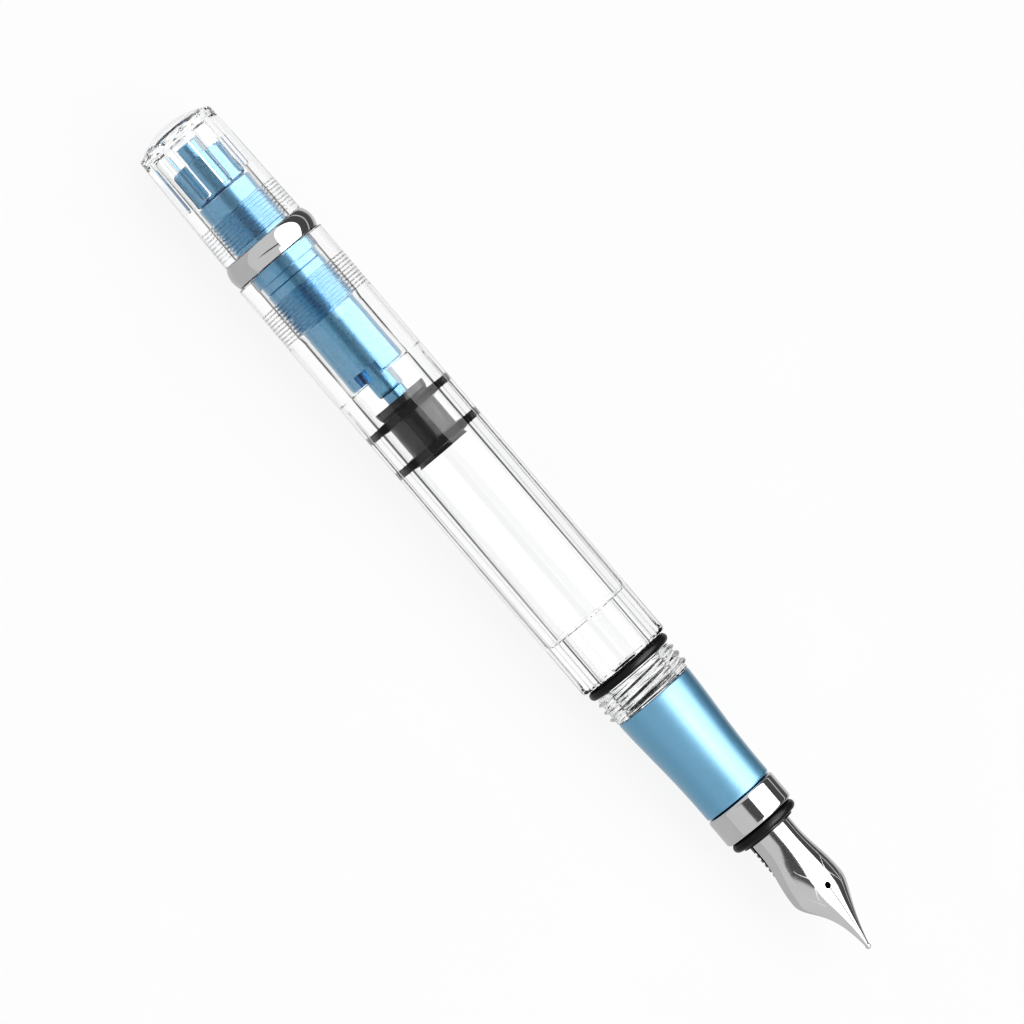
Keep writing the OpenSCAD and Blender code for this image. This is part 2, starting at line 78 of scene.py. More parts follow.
def link(mesh, name):
    """An object in the scene from a mesh."""
    piece = bpy.data.objects.new(name, mesh)
    bpy.context.scene.collection.objects.link(piece)
    return piece


def grid_piece(name, rows, loop=False, wrap=True, sharp=30):
    """A piece from rows of points; loop joins the last row to the first, wrap joins the columns."""
    bm = bmesh.new()
    verts = [[bm.verts.new(p) for p in row] for row in rows]
    n_rows, n_cols = len(rows), len(rows[0])
    for i in range(n_rows if loop else n_rows - 1):
        a, b = verts[i], verts[(i + 1) % n_rows]
        for j in range(n_cols if wrap else n_cols - 1):
            k = (j + 1) % n_cols
            bm.faces.new((a[j], a[k], b[k], b[j]))
    bmesh.ops.remove_doubles(bm, verts=bm.verts, dist=2e-7)
    bmesh.ops.dissolve_degenerate(bm, edges=bm.edges, dist=1e-7)
    bmesh.ops.recalc_face_normals(bm, faces=bm.faces)
    mesh = bpy.data.meshes.new(name)
    bm.to_mesh(mesh)
    bm.free()
    smooth(mesh, sharp)
    return link(mesh, name)


def smooth(mesh, sharp):
    """Smooth shading, except across edges sharper than the angle in degrees."""
    mesh.shade_smooth()
    mesh.set_sharp_from_angle(angle=math.radians(sharp))


NEARLY_STRAIGHT = math.radians(172)


def fillet(outline, size, steps=4):
    """The closed outline with each corner rounded, cutting at most size off each side of it."""
    out = []
    n = len(outline)
    for i in range(n):
        p, a, b = Vector(outline[i]), Vector(outline[i - 1]), Vector(outline[(i + 1) % n])
        if p.x < 1e-6:
            out.append(tuple(p))
            continue
        cut_a = min(size, 0.42 * (a - p).length)
        cut_b = min(size, 0.42 * (b - p).length)
        turn = (a - p).angle(b - p, math.pi)
        if turn > NEARLY_STRAIGHT:
            out.append(tuple(p))
            continue
        start = p + (a - p).normalized() * cut_a
        end = p + (b - p).normalized() * cut_b
        for k in range(steps + 1):
            t = k / steps
            q = start * (1 - t) ** 2 + p * 2 * t * (1 - t) + end * t * t
            out.append(tuple(q))
    return out


def lathe(name, outline, columns=128, size=0.0, sharp=30):
    """A turned piece from a closed outline of (radius, station) points."""
    points = fillet(outline, size) if size else outline
    rows = [[place(r, TAU * j / columns, s) for j in range(columns)] for r, s in points]
    return grid_piece(name, rows, loop=True, sharp=sharp)


def curve(a, b, c, d, t):
    """A cubic Bezier value."""
    u = 1 - t
    return a * u**3 + 3 * b * t * u * u + 3 * c * t * t * u + d * t**3


def smoothstep(a, b, x):
    t = min(1.0, max(0.0, (x - a) / (b - a)))
    return t * t * (3 - 2 * t)


def boolean(piece, cutter, operation):
    """Applies a boolean with cutter, which is then removed."""
    modifier = piece.modifiers.new("cut", "BOOLEAN")
    modifier.operation = operation
    modifier.object = cutter
    modifier.solver = "MANIFOLD"
    bpy.context.view_layer.update()
    graph = bpy.context.evaluated_depsgraph_get()
    mesh = bpy.data.meshes.new_from_object(piece.evaluated_get(graph))
    piece.modifiers.clear()
    piece.data = mesh
    old = cutter.data
    bpy.data.objects.remove(cutter)
    bpy.data.meshes.remove(old)
    return piece


def hull_piece(name, points):
    """The convex hull of some points."""
    bm = bmesh.new()
    for p in points:
        bm.verts.new(p)
    made = bmesh.ops.convex_hull(bm, input=bm.verts)
    spare = [v for v in made["geom_interior"] if isinstance(v, bmesh.types.BMVert)]
    bmesh.ops.delete(bm, geom=spare, context="VERTS")
    bmesh.ops.recalc_face_normals(bm, faces=bm.faces)
    mesh = bpy.data.meshes.new(name)
    bm.to_mesh(mesh)
    bm.free()
    return link(mesh, name)


# ---------------------------------------------------------------- materials


NOISE_SPAN = (0.3, 0.7)  # where nearly all values of a noise fall


def new_material(name):
    mat = bpy.data.materials.new(name)
    mat.use_nodes = True
    nodes, links = mat.node_tree.nodes, mat.node_tree.links
    shader = nodes["Principled BSDF"]
    coords = nodes.new("ShaderNodeTexCoord")
    return mat, nodes, links, shader, coords


def noise_node(nodes, links, coords, scale, detail=3.0, rough=0.5):
    node = nodes.new("ShaderNodeTexNoise")
    node.inputs["Scale"].default_value = scale
    node.inputs["Detail"].default_value = detail
    node.inputs["Roughness"].default_value = rough
    links.new(coords.outputs["Object"], node.inputs["Vector"])
    return node


def varied(nodes, links, source, target, low, high):
    """Feeds a noise value into a float socket, between low and high."""
    remap = nodes.new("ShaderNodeMapRange")
    remap.inputs["From Min"].default_value = NOISE_SPAN[0]
    remap.inputs["From Max"].default_value = NOISE_SPAN[1]
    remap.inputs["To Min"].default_value = low
    remap.inputs["To Max"].default_value = high
    links.new(source, remap.inputs["Value"])
    links.new(remap.outputs["Result"], target)


def tinted(nodes, links, source, target, low, high, span=NOISE_SPAN):
    """Feeds a noise value into a colour socket, between the colours low and high."""
    ramp = nodes.new("ShaderNodeValToRGB")
    for element, position, colour in zip(ramp.color_ramp.elements, span, (low, high)):
        element.position = position
        element.color = (*colour, 1)
    links.new(source, ramp.inputs["Fac"])
    links.new(ramp.outputs["Color"], target)


def bumped(nodes, links, source, shader, distance, strength):
    """Feeds a noise value into the relief of a shader."""
    bump = nodes.new("ShaderNodeBump")
    bump.inputs["Strength"].default_value = strength
    bump.inputs["Distance"].default_value = distance
    links.new(source, bump.inputs["Height"])
    links.new(bump.outputs["Normal"], shader.inputs["Normal"])


def clear_plastic():
    mat, nodes, links, shader, coords = new_material("clear_polycarbonate")
    flow = noise_node(nodes, links, coords, 90, 2)
    tinted(nodes, links, flow.outputs["Fac"], shader.inputs["Base Color"],
           (0.985, 0.992, 0.994), (1.0, 1.0, 1.0), (0.35, 0.65))
    shader.inputs["Roughness"].default_value = 0.0
    shader.inputs["Transmission Weight"].default_value = 1.0
    shader.inputs["IOR"].default_value = 1.5
    return mat


def turned_aluminium():
    """Blue anodised metal with the fine grooves of turning around its axis."""
    mat, nodes, links, shader, coords = new_material("blue_turned_aluminium")
    shader.inputs["Metallic"].default_value = 1.0
    grain = noise_node(nodes, links, coords, 2500, 3, 0.6)
    tinted(nodes, links, grain.outputs["Fac"], shader.inputs["Base Color"],
           (0.095, 0.31, 0.505), (0.12, 0.35, 0.55))
    varied(nodes, links, grain.outputs["Fac"], shader.inputs["Roughness"], 0.26, 0.32)
    shader.inputs["Anisotropic"].default_value = 0.75
    shader.inputs["Anisotropic Rotation"].default_value = 0.25
    tangent = nodes.new("ShaderNodeTangent")
    tangent.direction_type = "RADIAL"
    tangent.axis = "X"
    links.new(tangent.outputs["Tangent"], shader.inputs["Tangent"])
    shader.inputs["Coat Weight"].default_value = 1.0
    shader.inputs["Coat Roughness"].default_value = 0.08
    shader.inputs["Coat IOR"].default_value = 1.85
    return mat


def satin_aluminium():
    """Blue anodised metal with the fine matt grain of blasting."""
    mat, nodes, links, shader, coords = new_material("blue_satin_aluminium")
    shader.inputs["Metallic"].default_value = 1.0
    grain = noise_node(nodes, links, coords, 7000, 4, 0.65)
    cloud = noise_node(nodes, links, coords, 350, 3)
    tinted(nodes, links, grain.outputs["Fac"], shader.inputs["Base Color"],
           (0.17, 0.36, 0.52), (0.205, 0.405, 0.565))
    varied(nodes, links, cloud.outputs["Fac"], shader.inputs["Roughness"], 0.37, 0.43)
    bumped(nodes, links, grain.outputs["Fac"], shader, 0.00001, 0.5)
    shader.inputs["Coat Weight"].default_value = 1.0
    shader.inputs["Coat Roughness"].default_value = 0.3
    shader.inputs["Coat IOR"].default_value = 1.5
    return mat


def polished(name, cloud_scale, low, high, scuff_scale, rough):
    """Bright metal: a faint cloud in its colour and fine scuffs in its roughness."""
    mat, nodes, links, shader, coords = new_material(name)
    shader.inputs["Metallic"].default_value = 1.0
    cloud = noise_node(nodes, links, coords, cloud_scale, 3)
    tinted(nodes, links, cloud.outputs["Fac"], shader.inputs["Base Color"], low, high)
    scuff = noise_node(nodes, links, coords, scuff_scale, 5, 0.7)
    varied(nodes, links, scuff.outputs["Fac"], shader.inputs["Roughness"], *rough)
    return mat


def grained(name, scale, detail, low, high, rough, metallic=0.0, specular=0.5, bump=None):
    """One fine noise in the colour, the roughness and, as (distance, strength), the relief."""
    mat, nodes, links, shader, coords = new_material(name)
    shader.inputs["Metallic"].default_value = metallic
    shader.inputs["Specular IOR Level"].default_value = specular
    fine = noise_node(nodes, links, coords, scale, detail).outputs["Fac"]
    tinted(nodes, links, fine, shader.inputs["Base Color"], low, high)
    varied(nodes, links, fine, shader.inputs["Roughness"], *rough)
    if bump:
        bumped(nodes, links, fine, shader, *bump)
    return mat


CLEAR = clear_plastic()
BLUE = turned_aluminium()
SATIN = satin_aluminium()
CHROME = polished("polished_chrome", 250, (0.55, 0.55, 0.555), (0.58, 0.58, 0.583),
                  3000, (0.035, 0.075))
STEEL = polished("polished_nib_steel", 300, (0.55, 0.55, 0.55), (0.59, 0.588, 0.585),
                 4000, (0.05, 0.1))
ETCHED = grained("etched_steel", 20000, 3, (0.5, 0.5, 0.5), (0.62, 0.62, 0.62),
                 (0.4, 0.5), metallic=1.0)
RUBBER = grained("black_rubber", 5000, 4, (0.006, 0.006, 0.007), (0.011, 0.011, 0.012),
                 (0.3, 0.4), bump=(0.000008, 0.4))
SEAL = grained("seal_rubber", 3000, 3, (0.002, 0.002, 0.0025), (0.005, 0.005, 0.0055),
               (0.19, 0.21), specular=0.65)
BLACK = grained("black_moulded_plastic", 6000, 3, (0.014, 0.014, 0.015), (0.024, 0.024, 0.026),
                (0.22, 0.32), bump=(0.000005, 0.3))
SPRING = grained("spring_steel", 4000, 4, (0.46, 0.46, 0.47), (0.55, 0.55, 0.56),
                 (0.25, 0.4), metallic=1.0)
WHITE = grained("white_acetal", 5000, 3, (0.78, 0.78, 0.76), (0.84, 0.84, 0.82), (0.4, 0.5))


def finish_piece(piece, mat, body, node):
    """Gives a piece its material and body, and hides the CAD node that it stands for."""
    piece.data.materials.clear()
    piece.data.materials.append(mat)
    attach(piece, body)
    if node:
        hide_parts(node)
    return piece


def dress(node, mat):
    """Gives a CAD node a better material."""
    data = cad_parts[node].data
    data.materials.clear()
    data.materials.append(mat)


# ---------------------------------------------------------------- clear barrel

# Lengths along the barrel: round rear, whole body, flats in front, O-ring groove and neck,
# and from the start of the front flats to the step of the throat
REAR_ROUND, BODY, FRONT_FLATS, RING_GROOVE, NECK, THROAT_STEP = 18.7, 64.5, 7.45, 1.5, 3.9, 0.5
# Bore from the rear: the guide's pilot, the guide's thread, the chamber, the throat, the tube
PILOT_BORE, PILOT_LENGTH, GUIDE_BORE = 4.55, 1.65, 4.46
GUIDE_THREAD, GUIDE_THREAD_LENGTH = 4, 5.1
CHAMBER_R, THROAT_R, TUBE_R, TUBE_BORE = 4.3, 3.7, 3.95, 3.45
# The O-ring groove and the cap thread, by radius, and the pitch of the thread
GROOVE_R, NECK_ROOT, NECK_CREST, NECK_PITCH = 4.83, 5.5, 5.92, 1.15
# Long facets: they deepen over the ramp. Half angles and the roll are in degrees.
FACETS, FACET_COLUMNS, ROUND_COLUMNS, FACET_ROLL, FACET_RAMP = 6, 20, 20, -4, 6.5
HALF_NONE, HALF_REAR, HALF_MID, HALF_FRONT = 0.6, 11, 14.5, 18
# Fine threads of the guide and the knob: pitch and depth, and how many grooves each has
FINE_PITCH, GUIDE_DEPTH, KNOB_DEPTH = 0.5, 0.035, 0.03
GUIDE_GROOVES, KNOB_GROOVES = 10, 9

z_barrel, z_tube_end = station("barrel", 0), station("barrel", 1)
barrel_r = radius("barrel")
z_long_facets = z_barrel + REAR_ROUND
z_barrel_end = z_barrel + BODY
z_front_band = z_barrel_end - FRONT_FLATS
z_neck = z_barrel_end + RING_GROOVE
z_neck_end = z_neck + NECK
z_throat = z_front_band + THROAT_STEP
z_guide_thread = z_barrel + GUIDE_THREAD


def facet_half(s):
    """Half angle that a facet of the barrel spans at station s."""
    marks = [
        (z_long_facets + 0.1, 1.0),
        (z_long_facets + FACET_RAMP, math.cos(math.radians(HALF_REAR))),
        (z_front_band, math.cos(math.radians(HALF_MID))),
    ]
    if s <= marks[0][0]:
        return math.radians(HALF_NONE)
    if s >= z_front_band + 0.01:
        return math.radians(HALF_FRONT)
    for (s0, d0), (s1, d1) in zip(marks, marks[1:]):
        if s <= s1:
            depth = d0 + (d1 - d0) * (s - s0) / (s1 - s0)
            return max(math.radians(HALF_NONE), math.acos(min(1.0, depth)))
    return math.radians(HALF_MID)


def barrel_row(s, r, shape=None):
    """One ring of the barrel. shape(angle) gives its radius where it isn't faceted."""
    half = facet_half(s)
    row = []
    for k in range(FACETS):
        centre = math.radians(FACET_ROLL) + TAU * k / FACETS
        for j in range(FACET_COLUMNS):
            offset = half * (2 * j / FACET_COLUMNS - 1)
            row.append((centre + offset, offset))
        gap = TAU / FACETS - 2 * half
        for j in range(ROUND_COLUMNS):
            row.append((centre + half + gap * j / ROUND_COLUMNS, None))
    points = []
    for angle, offset in row:
        if shape:
            points.append(place(shape(angle), angle, s))
        elif offset is None or r < NECK_ROOT:
            points.append(place(r, angle, s))
        else:
            flat = barrel_r * math.cos(half) / math.cos(offset)
            points.append(place(min(r, flat), angle, s))
    return points


def cap_thread_radius(s):
    """Radius of the neck as a function of the angle: two starts that wind around it."""
    lead = 2 * NECK_PITCH
    start = z_neck + 0.45
    run = smoothstep(start - 0.15, start + 0.25, s) * (
        1 - smoothstep(z_neck_end - 0.6, z_neck_end - 0.2, s)
    )

    def shape(angle):
        phase = (s - start - lead * angle / TAU) % NECK_PITCH
        away = min(phase, NECK_PITCH - phase)
        crest = 1 - smoothstep(0.1, 0.42, away)
        return NECK_ROOT + (NECK_CREST - NECK_ROOT) * crest * run

    return shape


def grooves(first, count, land, depth):
    """Rows, as (radius, station), of narrow grooves cut in a bore, from the rear forward."""
    half, flat, floor_r = 0.08, 0.024, land + depth * 0.8
    out = []
    for k in range(count):
        s = first + k * FINE_PITCH
        out += [(land, s - half), (floor_r, s - flat), (floor_r, s + flat), (land, s + half)]
    return out


def steps(a, b, n):
    """n values from a toward b, without b."""
    return [a + (b - a) * i / n for i in range(n)]


def build_barrel():
    rows = []
    # Outside, from the rear face forward
    rows += [barrel_row(z_barrel + d, barrel_r - c) for d, c in
             ((0, 0.14), (0.04, 0.06), (0.12, 0.0))]
    rows += [barrel_row(s, barrel_r) for s in steps(z_barrel + 1, z_long_facets - 0.1, 6)]
    rows += [barrel_row(z_long_facets + d, barrel_r - c) for d, c in
             ((-0.1, 0), (-0.05, 0.03), (0, 0.07), (0.05, 0.03), (0.1, 0))]
    ramp_end = z_long_facets + FACET_RAMP
    rows += [barrel_row(s, barrel_r) for s in steps(z_long_facets + 0.25, ramp_end, 14)]
    rows += [barrel_row(s, barrel_r) for s in steps(ramp_end, z_front_band, 12)]
    rows += [barrel_row(z_front_band, barrel_r), barrel_row(z_front_band + 0.03, barrel_r)]
    rows += [barrel_row(s, barrel_r) for s in steps(z_front_band + 0.5, z_barrel_end - 0.3, 6)]
    rows += [barrel_row(z_barrel_end - 0.3 + d, barrel_r - c) for d, c in
             ((0, 0), (0.12, 0.03), (0.24, 0.12), (0.3, 0.3))]
    rows += [barrel_row(z_barrel_end, r) for r in (5.4, GROOVE_R)]
    # Neck, with the groove of the O-ring and the cap thread
    rows += [barrel_row(z_neck, r) for r in (GROOVE_R, NECK_ROOT - 0.15)]
    n = 64
    for i in range(n + 1):
        s = z_neck + 0.1 + (z_neck_end - z_neck - 0.2) * i / n
        rows.append(barrel_row(s, NECK_ROOT, cap_thread_radius(s)))
    rows += [barrel_row(z_neck_end, r) for r in (NECK_ROOT - 0.15, TUBE_R)]
    # Front tube, and back along the inside
    rows += [barrel_row(s, TUBE_R) for s in steps(z_neck_end + 0.5, z_tube_end, 4)]
    rows += [barrel_row(z_tube_end, TUBE_R), barrel_row(z_tube_end, TUBE_BORE)]
    rows += [barrel_row(z_neck_end + 1, TUBE_BORE), barrel_row(z_neck_end + 0.7, THROAT_R)]
    rows += [barrel_row(s, THROAT_R) for s in steps(z_neck_end, z_throat, 4)]
    rows += [barrel_row(z_throat, THROAT_R)]
    rows += [barrel_row(z_throat - d, CHAMBER_R - c) for d, c in
             ((0, 0.16), (0.04, 0.06), (0.14, 0))]
    guide_front = z_guide_thread + GUIDE_THREAD_LENGTH + 0.1
    rows += [barrel_row(s, CHAMBER_R) for s in steps(z_throat - 2, guide_front + 2, 14)]
    rows += [barrel_row(guide_front + 1, CHAMBER_R), barrel_row(guide_front, GUIDE_BORE)]
    thread = grooves(z_guide_thread + 0.3, GUIDE_GROOVES, GUIDE_BORE, GUIDE_DEPTH)
    rows += [barrel_row(s, r) for r, s in reversed(thread)]
    pilot_end = z_barrel + PILOT_LENGTH
    rows += [barrel_row(z_guide_thread - 0.02, GUIDE_BORE), barrel_row(pilot_end, GUIDE_BORE)]
    rows += [barrel_row(pilot_end, PILOT_BORE), barrel_row(z_barrel, PILOT_BORE)]
    piece = grid_piece("clear_barrel", rows, loop=True, sharp=7)
    # The cap thread is rounded all over
    mesh = piece.data
    for edge in mesh.edges:
        mid = (mesh.vertices[edge.vertices[0]].co + mesh.vertices[edge.vertices[1]].co) / 2
        s = (mid.x - tail_x) / MM
        off_axis = math.hypot(mid.y, mid.z - axis_z)
        if z_neck + 0.12 < s < z_neck_end - 0.12 and off_axis > 5.2 * MM:
            edge.use_edge_sharp = False
    return piece


finish_piece(build_barrel(), CLEAR, "pen", "barrel")

# ---------------------------------------------------------------- clear knob

z_knob_end = station("knob", 1)
KNOB_BORE, KNOB_TAIL_R, KNOB_RIM_R = 4.18, 5.5, 5.88
DOME_H, CAVITY, KNOB_THREAD = 2.1, 2.5, 13
# Ribs: width, inner radius, corner, station of their ends, number, and roll in degrees
RIB_W, RIB_R, RIB_CORNER, RIB_END, RIB_COUNT, RIB_ROLL = 1.0, 3.31, 0.42, 10.1, 8, 8
# Points of the dome: radius, station, and turn as a share of one facet
DOME_SIDES = 12
DOME_RINGS = ((5.5, 2.0, 0.0), (5.5, 1.5, 0.5), (4.4, 1.03, 0.0), (2.96, 0.42, 0.5),
              (0.9, 0.0, 0.0))


def rib(k):
    """A rib inside the knob, with a rounded end, that reaches into the wall."""
    turn = math.radians(RIB_ROLL + k * 360 / RIB_COUNT)
    half, n = RIB_W / 2, 6
    reach, top = half - RIB_CORNER, RIB_END - RIB_CORNER
    outline = [(-half, CAVITY - 0.2), (half, CAVITY - 0.2)]
    for side, first in ((reach, 0), (-reach, 1)):
        for i in range(n + 1):
            a = math.pi / 2 * (first + i / n)
            outline.append((side + RIB_CORNER * math.cos(a), top + RIB_CORNER * math.sin(a)))
    points = []
    for r, inset in ((RIB_R, 0.06), (RIB_R + 0.08, 0.0), (KNOB_BORE + 0.5, 0.0)):
        for w, s in outline:
            width = w * (half - inset) / half
            end = s - inset if s > CAVITY else s
            points.append(Vector((
                tail_x + end * MM,
                (r * math.cos(turn) - width * math.sin(turn)) * MM,
                axis_z + (r * math.sin(turn) + width * math.cos(turn)) * MM,
            )))
    return hull_piece("rib", points)


def knob_ring(s, r):
    """One round row of the knob."""
    columns = 180
    return [place(r, TAU * j / columns, s) for j in range(columns)]


def build_knob():
    taper = (KNOB_RIM_R - KNOB_TAIL_R) / (z_knob_end - DOME_H)
    thread = grooves(KNOB_THREAD + 0.2, KNOB_GROOVES, KNOB_BORE, KNOB_DEPTH)
    outline = [(0.0, DOME_H - 0.1), (5.3, DOME_H - 0.1), (KNOB_TAIL_R, DOME_H + 0.15)]
    outline += [(KNOB_TAIL_R + taper * (s - DOME_H), s) for s in steps(4, z_knob_end - 0.15, 12)]
    outline += [(KNOB_RIM_R - c, z_knob_end - d) for d, c in
                ((0.15, 0), (0.05, 0.03), (0.01, 0.09), (0, 0.14))]
    outline += [(KNOB_BORE + 0.25, z_knob_end), (KNOB_BORE + 0.02, z_knob_end - 0.1)]
    outline += reversed(thread)
    outline += [(KNOB_BORE, s) for s in steps(KNOB_THREAD - 0.4, CAVITY + 0.5, 6)]
    outline += [(KNOB_BORE - 0.5 + 0.5 * math.cos(a), CAVITY + 0.5 - 0.5 * math.sin(a))
                for a in (0, 0.4, 0.8, 1.2, math.pi / 2)]
    outline += [(2.0, CAVITY), (0.0, CAVITY)]
    knob = grid_piece("clear_knob", [knob_ring(s, r) for r, s in outline], sharp=12)
    for k in range(RIB_COUNT):
        boolean(knob, rib(k), "UNION")
    # Dome cut like a jewel: table, star facets, crown facets and steep rim flats
    points = [place(5.46, TAU * j / 96, DOME_H + 0.1) for j in range(96)]
    for r, s, shift in DOME_RINGS:
        points += [place(r, TAU * (k + shift) / DOME_SIDES, s) for k in range(DOME_SIDES)]
    boolean(knob, hull_piece("dome", points), "UNION")
    smooth(knob.data, 7)
    return knob


finish_piece(build_knob(), CLEAR, "filling_knob", "knob")

# ---------------------------------------------------------------- polished rings

z_collar, z_collar_end = station("collar_ring", 0), station("collar_ring", 1)
COLLAR_BORE, COLLAR_STEP, NOSE_BORE = 4.56, 5.05, 3.65


def build_collar():
    n = 24
    side = []
    for i in range(n + 1):
        t = i / n
        side.append((
            curve(KNOB_RIM_R + 0.05, 6.5, 6.44, 6.1, t),
            z_collar + 0.1 + t * (z_collar_end - z_collar - 0.2),
        ))
    outline = [(COLLAR_BORE, z_collar + 0.45), (COLLAR_STEP, z_collar + 0.45),
               (COLLAR_STEP, z_collar),
               (KNOB_RIM_R - 0.12, z_collar), (KNOB_RIM_R - 0.02, z_collar + 0.03)]
    outline += side
    outline += [(6.03, z_collar_end - 0.03), (5.92, z_collar_end), (COLLAR_BORE, z_collar_end)]
    return lathe("polished_collar", outline, 192)


finish_piece(build_collar(), CHROME, "pen", "collar_ring")

z_nose, z_nose_end = station("nose_ring", 0), station("nose_ring", 1)
nose_r = radius("nose_ring")


def build_nose():
    r, n = 0.45, 10
    arc = [(nose_r - r + r * math.cos(a), r * (1 - math.sin(a)))
           for a in (math.pi / 2 * i / n for i in range(n + 1))]
    outline = [(NOSE_BORE, z_nose)] + [(p, z_nose + q) for p, q in reversed(arc)]
    outline += [(nose_r, z_nose + r + 0.03), (nose_r, z_nose_end - r - 0.03)]
    outline += [(p, z_nose_end - q) for p, q in arc] + [(NOSE_BORE, z_nose_end)]
    return lathe("polished_nose_ring", outline, 192)


finish_piece(build_nose(), CHROME, "pen", "nose_ring")

# ---------------------------------------------------------------- grip

z_grip, z_grip_end = station("grip_section", 0), station("grip_section", 1)
GRIP_REAR, GRIP_FRONT, GRIP_BORE = 5.47, 4.78, 4.0


def build_grip():
    n = 60
    first, last = z_grip + 0.15, z_grip_end - 0.3
    side = []
    for i in range(n + 1):
        t = i / n
        side.append((
            curve(GRIP_REAR, GRIP_REAR - 0.12, GRIP_FRONT - 0.06, GRIP_FRONT, t),
            curve(first, z_grip + 5, z_grip + 9, last, t),
        ))
    outline = [(GRIP_BORE, z_grip), (GRIP_REAR - 0.15, z_grip), (GRIP_REAR - 0.05, z_grip + 0.04)]
    outline += side
    outline += [(GRIP_FRONT - 0.03, z_grip_end - 0.15), (GRIP_FRONT - 0.12, z_grip_end - 0.04),
                (GRIP_FRONT - 0.25, z_grip_end), (GRIP_BORE, z_grip_end)]
    return lathe("satin_grip", outline, 192)


finish_piece(build_grip(), SATIN, "pen", "grip_section")

# ---------------------------------------------------------------- piston seal

z_seal, z_seal_end = station("piston_seal", 0), station("piston_seal", 1)


def build_seal():
    rib_r, body, lip, pin = CHAMBER_R + 0.01, 3.4, 3.72, 1.58
    a, b = z_seal, z_seal_end
    outline = [
        (pin, a), (lip, a), (lip - 0.1, a + 0.9), (body, a + 1.3),
        (rib_r - 0.04, a + 1.36), (rib_r, a + 1.42), (rib_r, a + 2.38), (rib_r - 0.04, a + 2.44),
        (body, a + 2.6), (body, b - 1.85),
        (rib_r - 0.04, b - 1.72), (rib_r, b - 1.66), (rib_r, b - 0.64), (rib_r - 0.04, b - 0.58),
        (body + 0.1, b - 0.38), (lip, b), (lip - 0.35, b), (lip - 0.75, b - 0.5),
        (0, b - 0.7), (0, b - 2.4), (pin, b - 2.6),
    ]
    return lathe("piston_seal_moulded", outline, 144, size=0.06)


finish_piece(build_seal(), SEAL, "piston", "piston_seal")

# ---------------------------------------------------------------- nib

z_nib_tail, z_tip = station("nib", 0), station("nib", 1)
NIB_OUT = 19.1  # how far the nib reaches out of the nose ring
NIB_TAIL_R, NIB_T, SHOULDER = 3.05, 0.3, 4.0
SHANK, FLARE = 2.2, 6.8  # plain length outside the nose ring, then the widening to the shoulder
EDGE_H, CROWN_DROP = 0.15, 0.08
HOLE, HOLE_R, SLIT_W, SLIT_L = 9.7, 0.425, 0.12, 12
z_mouth = z_tip - NIB_OUT
z_shank_end = z_mouth + SHANK
z_shoulder = z_shank_end + FLARE


def nib_ring(t):
    """Station, half width, height of the edges and height of the top of one ring of the nib."""
    if t < 0:
        return z_shank_end + t * (z_shank_end - z_nib_tail), NIB_TAIL_R, EDGE_H, NIB_TAIL_R
    if t < 1:
        swell = (1 - math.cos(math.pi * t**0.9)) / 2
        return (
            z_shank_end + FLARE * t,
            NIB_TAIL_R + (SHOULDER - NIB_TAIL_R) * swell,
            EDGE_H,
            NIB_TAIL_R - CROWN_DROP * t * t,
        )
    u = t - 1
    crown = NIB_TAIL_R - CROWN_DROP
    return (
        curve(z_shoulder, z_shoulder + 2.4, z_shoulder + 2.6, z_tip - 0.15, u),
        curve(SHOULDER, SHOULDER + 0.1, 1.5, 0.22, u),
        curve(EDGE_H, 0.7, 2.2, 0.3, u),
        curve(crown, NIB_TAIL_R - 0.3, 2.7, 0.62, u),
    )


def nib_point(t, across, depth=0.0):
    """World point on the nib: t along it, across from -1 to 1, depth below its outer face."""
    s, half, edge, top = nib_ring(t)
    arch = top - edge
    r = (half * half + arch * arch) / (2 * arch)
    reach = math.asin(min(1.0, half / r))
    if arch > r:
        reach = math.pi - reach
    a = reach * across
    return Vector((
        tail_x + s * MM,
        (r - depth) * math.sin(a) * MM,
        axis_z + (top - r + (r - depth) * math.cos(a)) * MM,
    ))


